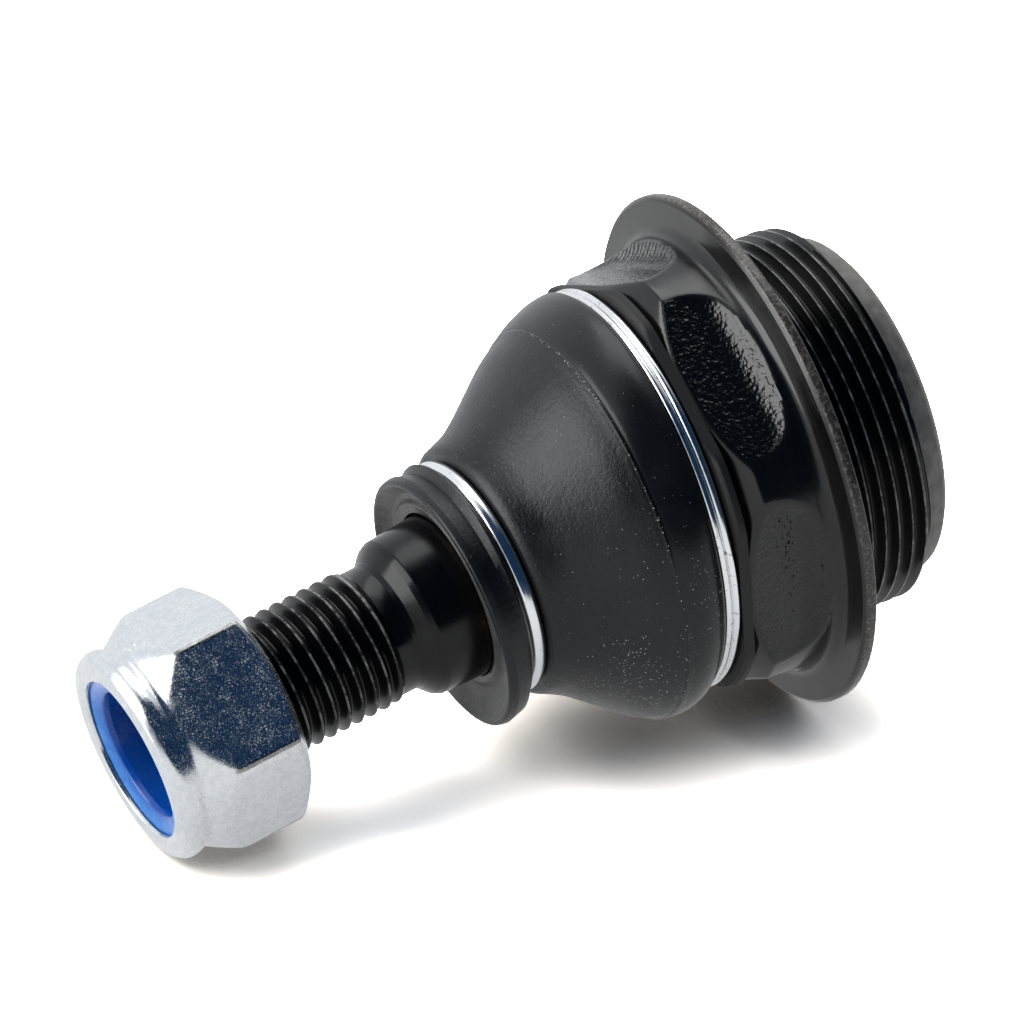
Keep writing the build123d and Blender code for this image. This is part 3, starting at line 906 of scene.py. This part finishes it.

# %% [markdown]
# ## Zinc plate of the nut
# Zinc plate with a clear blue passivation is a bright metal, but it is not
# smooth: the plating grows in tiny nodules, which its bump shows. Its glints
# are painted as pale matt spots in the colour, so a flat that mirrors
# something dark is full of small painted sparks and a flat that mirrors
# something white hardly shows them. They come in three sizes, the larger the
# rarer and the brighter. A thin dark line of painted shade runs along the
# hexagon's corners.

# %% Zinc plate of the nut
ZINC, DULL_ZINC = (0.80, 0.83, 0.86), (0.70, 0.735, 0.77)
CORNER_SHADE_PAINT, GLINT_PAINT_COLOR = (0.10, 0.09, 0.08), (0.80, 0.82, 0.72)
PAINTED_GLINT_SIZES = ((7600, 0.20, 0.42), (5400, 0.72, 0.80), (4300, 0.98, 1.0))
zinc = Finish("zinc_plate", ZINC, 0.2, STUD_FRAME, metallic=1.0)
nodules = zinc.noise(3400, detail=3, roughness=0.7)
waves = zinc.bump(zinc.noise(900), 0.012, 0.7)
zinc.normal(zinc.bump(nodules, 0.020, 0.8, over=waves))
zinc.rough(zinc.patchy(700, 4, 0.3, 0.7, 0.13, 0.24))
clusters = zinc.times(zinc.patchy(430, 5, 0.38, 0.66, roughness=0.65), 0.4)
# Painted glints: grains get a pale matt colour in place of the metal, in three sizes.
painted_glints = 0.0
for scale, rare, most in PAINTED_GLINT_SIZES:
    size, pick = zinc.grains(scale)
    bright = zinc.ramp(zinc.plus(pick, clusters), rare, 1.35, 0.0, most)
    painted_glints = zinc.math("MAXIMUM", painted_glints, zinc.times(zinc.ramp(size, 0.55, 0.2), bright))
# Painted shade: a thin dark line along the hexagon's corners.
at_corner = zinc.ramp(zinc.radius, 0.01215, 0.01235)
degrees_round = zinc.times(zinc.math("ARCTAN2", zinc.y, zinc.x), 180 / pi)
from_corner = zinc.math(
    "PINGPONG", zinc.plus(degrees_round, 360 - NUT_CORNER_ANGLE), FLAT_TURN / 2)
shaky = zinc.plus(from_corner, zinc.times(zinc.noise(900, 4), 1.4))
corner_shade_line = zinc.times(at_corner, zinc.ramp(shaky, 2.6, 1.5))
plate = zinc.mix(zinc.patchy(1500, 4, 0.3, 0.7), DULL_ZINC, ZINC)
plate = zinc.mix(zinc.times(corner_shade_line, 0.8), plate, CORNER_SHADE_PAINT)
zinc.color(zinc.mix(painted_glints, plate, GLINT_PAINT_COLOR))
zinc.put("Metallic", zinc.ramp(painted_glints, 0, 1, 1.0, 0.15, smooth=False))
wear(nut, zinc)

# %% [markdown]
# ## Nylon
# The ring is dyed through in a strong blue. Light enters the sharp front rim
# and comes out again, and that glow is painted into the colour: the funnel is
# paler than the bore behind it, and a painted highlight makes it palest at the top.

# %% Blue nylon of the locking ring
DYED, RIM_BLUE = (0.0003, 0.062, 0.34), (0.008, 0.140, 0.48)
RIM_PALE, RIM_TOP_HIGHLIGHT_PAINT = (0.040, 0.200, 0.56), (0.20, 0.30, 0.66)
blue = Finish("blue_nylon", DYED, 0.24, STUD_FRAME)
marks = blue.bump(blue.lines(5200), 0.0025, 0.6)
blue.normal(blue.bump(blue.noise(1400, 4, 0.6), 0.006, 0.6, over=marks))
blue.rough(blue.patchy(600, 3, 0.3, 0.7, 0.18, 0.32))
# Painted light: the front rim is painted paler for the light it lets out, and a painted
# highlight makes it palest at the top.
front_rim = blue.ramp(blue.t, -0.06555, -0.06625)
rim_glow_painted = blue.mix(blue.patchy(900, 4, 0.35, 0.7), RIM_BLUE, RIM_PALE)
rim_glow_painted = blue.mix(blue.ramp(blue.x, 0.0020, 0.0072), rim_glow_painted, RIM_TOP_HIGHLIGHT_PAINT)
blue.color(blue.mix(front_rim, DYED, rim_glow_painted))
wear(nylon, blue)

# %% [markdown]
# ## Clips
# Both clips are bright spring steel. The wire was drawn through a die, so its
# marks run along it; the band was rolled and has fine lines round it.

# %% Bright steel of the clips
WIRE_BRIGHT, WIRE_DULL = (0.88, 0.89, 0.90), (0.42, 0.41, 0.40)
spring = Finish("bright_wire", WIRE_BRIGHT, 0.14, HOUSING_FRAME, metallic=1.0)
drawn = spring.bump(spring.lines(9000), 0.0015, 0.8)
spring.normal(spring.bump(spring.noise(2500, 3), 0.003, 0.5, over=drawn))
spring.rough(spring.patchy(900, 4, 0.3, 0.7, 0.10, 0.2))
spring.color(spring.mix(spring.patchy(1600, 5, 0.55, 0.75), WIRE_BRIGHT, WIRE_DULL))
wear(wire, spring)

BAND_BRIGHT, BAND_DULL = (0.88, 0.90, 0.92), (0.48, 0.48, 0.48)
strip = Finish("bright_band", BAND_BRIGHT, 0.16, COLLAR_FRAME, metallic=1.0)
strip.normal(strip.bump(strip.lines(8000), 0.002, 0.8))
strip.rough(strip.patchy(900, 4, 0.3, 0.7, 0.12, 0.22))
strip.color(strip.mix(strip.patchy(1200, 5, 0.58, 0.78), BAND_BRIGHT, BAND_DULL))
wear(band, strip)

# %% [markdown]
# ## Rubber
# Moulded rubber is black with a satin skin that copies the mould: eroded and
# slightly grained in front of the parting line, smoother behind it. The parting
# line itself is a fine dark line. Rubber holds dust: a thin film in patches, a
# paler coat on the face of the lip, and single specks on the low side and along
# the parting line.

# %% Rubber of the boot
RUBBER, FILM = (0.0040, 0.0044, 0.0058), (0.010, 0.011, 0.013)
SEAM_BLACK, LIP_DUST = (0.0012, 0.0012, 0.0012), (0.062, 0.060, 0.058)
SPECK = (0.34, 0.34, 0.32)
rubber = Finish("boot_rubber", RUBBER, 0.42, HOUSING_FRAME)
behind_seam = rubber.ramp(rubber.t, -0.0159, -0.0150)
mould_grain = rubber.plus(rubber.noise(2600, 4, 0.65),
                          rubber.times(rubber.noise(620, 3), 0.8))
grain_height = rubber.blend(behind_seam, mould_grain, rubber.times(mould_grain, 0.25))
rubber.normal(rubber.bump(grain_height, 0.055, 0.9))
film = rubber.patchy(190, 5, 0.38, 0.66, roughness=0.6)
front_rough = rubber.blend(film, 0.28, 0.36)
rubber.rough(rubber.blend(behind_seam, front_rough, 0.26))
rubber.put("Specular IOR Level", 0.38)
ring = rubber.attribute("ring")
seam_line = rubber.times(rubber.ramp(ring, SEAM_RING - 1.2, SEAM_RING - 0.2),
                         rubber.ramp(ring, SEAM_RING + 2.2, SEAM_RING + 1.2))
lip_face = rubber.times(rubber.ramp(ring, LIP_FACE_RING - 1.0, LIP_FACE_RING + 1.0),
                        rubber.ramp(ring, LIP_END_RING + 0.5, LIP_END_RING - 0.5))
low_side = rubber.times(rubber.ramp(rubber.x, 0.010, -0.006),
                        rubber.ramp(rubber.t, -0.0250, -0.0225))
dusty = rubber.times(rubber.patchy(140, 4, 0.42, 0.58), low_side)
speck_size, speck_pick = rubber.grains(4600)
chance = rubber.plus(speck_pick, rubber.plus(rubber.times(dusty, 0.14),
                                             rubber.times(seam_line, 0.26)))
specks = rubber.times(rubber.ramp(speck_size, 0.50, 0.2),
                      rubber.ramp(chance, 0.970, 1.05))
tone = rubber.mix(rubber.times(film, 0.6), RUBBER, FILM)
tone = rubber.mix(seam_line, tone, SEAM_BLACK)
dust = rubber.patchy(700, 5, 0.25, 0.75, 0.25, 1.0, roughness=0.65)
tone = rubber.mix(rubber.times(lip_face, dust), tone, LIP_DUST)
rubber.color(rubber.mix(specks, tone, SPECK))
wear(boot, rubber)

# %% [markdown]
# ## The closed end and the bearing
# The cover plate is pressed steel, left dark by its heat treatment, with the
# rolling tool's rings in it. The bearing shell is natural acetal and shows
# only where the stud leans far out.

# %% Dark steel of the cover plate, natural acetal of the bearing
STEEL_DARK, STEEL_PALE = (0.075, 0.076, 0.082), (0.15, 0.145, 0.14)
steel = Finish("dark_steel", (0.10, 0.10, 0.105), 0.4, HOUSING_FRAME, metallic=1.0)
rolled = steel.bump(steel.lines(4200), 0.004, 0.8)
steel.normal(steel.bump(steel.noise(1800, 4), 0.01, 0.5, over=rolled))
steel.rough(steel.patchy(500, 4, 0.3, 0.7, 0.30, 0.46))
steel.color(steel.mix(steel.patchy(240, 5, 0.35, 0.7), STEEL_DARK, STEEL_PALE))
wear(bpy.data.objects["cover_plate"], steel)

ACETAL, ACETAL_DULL = (0.80, 0.78, 0.72), (0.70, 0.67, 0.60)
acetal = Finish("natural_acetal", ACETAL, 0.4, HOUSING_FRAME)
moulded = acetal.bump(acetal.lines(5000), 0.003, 0.6)
acetal.normal(acetal.bump(acetal.noise(1500, 3), 0.005, 0.5, over=moulded))
acetal.rough(acetal.patchy(600, 3, 0.3, 0.7, 0.32, 0.46))
acetal.color(acetal.mix(acetal.patchy(300, 4, 0.35, 0.7), ACETAL, ACETAL_DULL))
wear(bpy.data.objects["bearing_shell"], acetal)

# %% [markdown]
# ## Table, light and camera
# The joint stands on pure white, as in a studio. The camera sees the table
# brighter than it is, and darker close to the joint, where ambient occlusion
# finds something above it. Metal and paint mirror a plainer white table. The
# room is white with a dark end behind the camera, and that is what zinc and
# black paint show as their deep tones. One softbox to the left draws the long
# highlights and a weaker one above and behind lights the upper sides.

# %% White table
TABLE_COLOR, TABLE_IN_METAL, METAL_SHARE = 0.85, 0.88, 0.6
TABLE_SEEN, TABLE_TINT = 5.2, (1.07, 1.0, 0.905)
CONTACT_REACH, CONTACT_AO, CONTACT_LIGHT = 0.009, (0.25, 0.95), (0.12, 1.0)
deselect_all()
bpy.ops.mesh.primitive_plane_add(size=8.0, location=(0, 0, 0))
table = bpy.context.object
table.name = "white_table"
table_finish = bpy.data.materials.new("white_table")
table_finish.use_nodes = True
tree = table_finish.node_tree
tree.nodes.clear()
path = add_node(tree, "ShaderNodeLightPath").outputs
near = add_node(tree, "ShaderNodeAmbientOcclusion", {"Distance": CONTACT_REACH},
                samples=8)
contact = map_range(tree, near.outputs["AO"], *CONTACT_AO, *CONTACT_LIGHT, smooth=False)
bright = add_node(tree, "ShaderNodeVectorMath", {
    0: [TABLE_SEEN * k for k in TABLE_TINT], "Scale": contact}, operation="SCALE")
matte = add_node(tree, "ShaderNodeBsdfDiffuse", {"Color": mix_colors(
    tree, path["Is Camera Ray"], (TABLE_COLOR,) * 3, bright.outputs["Vector"])})
plain = add_node(tree, "ShaderNodeEmission", {"Color": (TABLE_IN_METAL,) * 3 + (1,)})
share = add_node(tree, "ShaderNodeMath", {0: path["Is Glossy Ray"], 1: METAL_SHARE},
                 operation="MULTIPLY")
add_node(tree, "ShaderNodeOutputMaterial", {"Surface": mix_shaders(
    tree, share.outputs[0], matte.outputs[0], plain.outputs[0])})
table.data.materials.append(table_finish)

# %% World: a white room with a dark end behind the camera
WHITE_ROOM, DARK = (0.88, 0.90, 0.93), (0.006, 0.026, 0.066)
DARK_PLACES = (
    (10, 30, 36, 56), (-28, 38, 24, 42), (58, 18, 28, 48), (5, 62, 20, 40))


def direction(azimuth, elevation):
    """Unit vector towards a place in the room: azimuth 0 is behind the camera
    at -Y, and 90 is +X."""
    a, e = radians(azimuth), radians(elevation)
    return Vector((sin(a) * cos(e), -cos(a) * cos(e), sin(e)))


world = bpy.data.worlds.new("studio")
bpy.context.scene.world = world
world.use_nodes = True
tree = world.node_tree
tree.nodes.clear()
look = add_node(tree, "ShaderNodeTexCoord").outputs["Generated"]


def patch(azimuth, elevation, inner, outer):
    """1 within inner degrees of a place in the room, fading to 0 at outer."""
    dot = add_node(tree, "ShaderNodeVectorMath", {
        0: look, 1: direction(azimuth, elevation)}, operation="DOT_PRODUCT")
    return map_range(tree, dot.outputs["Value"],
                     cos(radians(outer)), cos(radians(inner)))


room_color = WHITE_ROOM
for where in DARK_PLACES:
    room_color = mix_colors(tree, patch(*where), room_color, DARK)
room = add_node(tree, "ShaderNodeBackground", {"Color": room_color})
white = add_node(tree, "ShaderNodeBackground", {"Color": (1, 1, 1, 1)})
path = add_node(tree, "ShaderNodeLightPath").outputs
add_node(tree, "ShaderNodeOutputWorld", {"Surface": mix_shaders(
    tree, path["Is Camera Ray"], room.outputs[0], white.outputs[0])})


# %% Lamps
JOINT_MIDDLE = Vector((0, 0, 0.02))


def softbox(name, azimuth, elevation, distance, size, radiance):
    """A square softbox that looks at the joint from a place in the room. Its
    radiance is what a mirror facing it would show."""
    deselect_all()
    place = direction(azimuth, elevation) * distance + JOINT_MIDDLE
    bpy.ops.object.light_add(type="AREA", location=place)
    lamp = bpy.context.object
    lamp.name = name
    lamp.data.shape = "RECTANGLE"
    lamp.data.size, lamp.data.size_y = size
    lamp.data.energy = radiance * pi * size[0] * size[1]
    facing = direction(azimuth, elevation).to_track_quat("Z", "Y")
    lamp.rotation_euler = facing.to_euler()


softbox("left_softbox", -98, 23, 0.7, (0.52, 0.66), 4.2)
softbox("top_softbox", 150, 66, 0.8, (0.5, 0.5), 1.9)

# %% Camera
CAMERA_FROM_BALL = Vector((-212.728, -392.161, 211.285)) * MM
CAMERA_AHEAD = Vector((0.392950, 0.808654, -0.437800))
CAMERA_RIGHT = Vector((0.897695, -0.440545, -0.007991))
SENSOR, FOCAL_LENGTH = 36.0, 5000 / 1024  # a long lens, in sensor widths
bpy.ops.object.camera_add(location=BALL + CAMERA_FROM_BALL)
camera = bpy.context.object
camera.name = "camera"
CAMERA_UP = CAMERA_RIGHT.cross(CAMERA_AHEAD)
view_turn = Matrix((CAMERA_RIGHT, CAMERA_UP, -CAMERA_AHEAD)).transposed()
camera.rotation_euler = view_turn.to_euler()
camera.data.sensor_width = SENSOR
camera.data.lens = FOCAL_LENGTH * SENSOR
camera.data.clip_start, camera.data.clip_end = 0.01, 20.0
bpy.context.scene.camera = camera
bpy.context.scene.view_settings.view_transform = "Standard"
